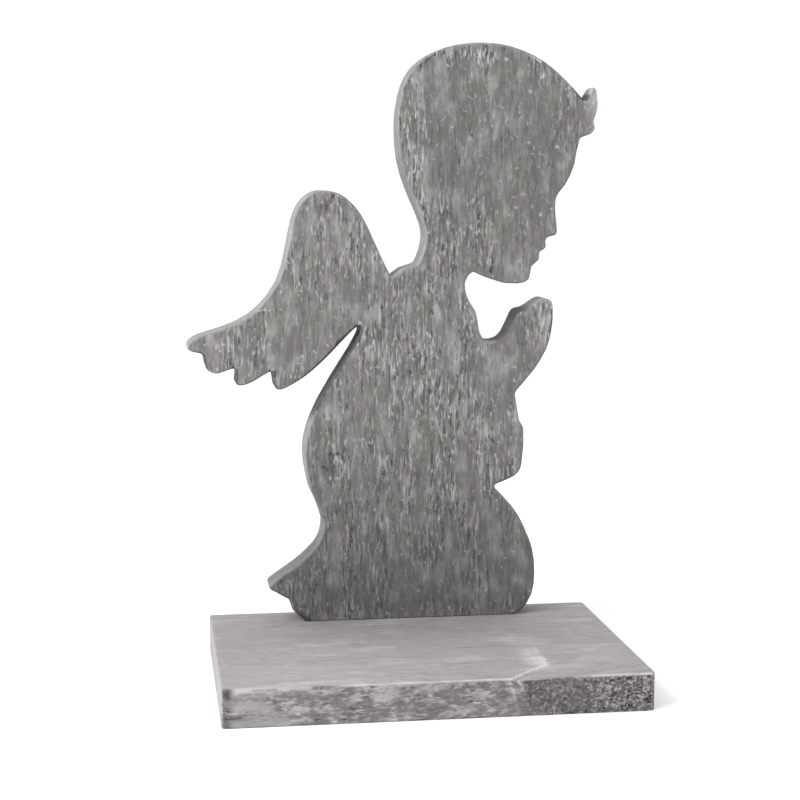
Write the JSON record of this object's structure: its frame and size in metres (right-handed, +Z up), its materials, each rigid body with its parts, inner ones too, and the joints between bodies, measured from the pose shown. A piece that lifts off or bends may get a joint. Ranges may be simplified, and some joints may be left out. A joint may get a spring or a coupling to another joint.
{
  "type": "wooden angel grave ornament",
  "caption": "Kneeling, praying angel in profile, a flat cut-out sawn from thick weathered wood, standing on edge near the back of a plain plank base; a grave or garden ornament.",
  "frame": {"origin": "middle of the plank's underside", "axes": "+Z up along the figure's grain, +X to the right as the figure's good face is seen, -Y out of that face"},
  "size_m": [0.2776, 0.185, 0.4125],
  "materials": {
    "plank_wood": "weathered softwood under a pale grey limewash, dry and matt, grain left to right",
    "figure_wood": "weathered softwood, grey stain with white dry-brushed flecks along an upright grain, matt"
  },
  "bodies": {
    "root": {"base_plank": "plank_wood", "angel_figure": "figure_wood"}
  },
  "joints": []
}
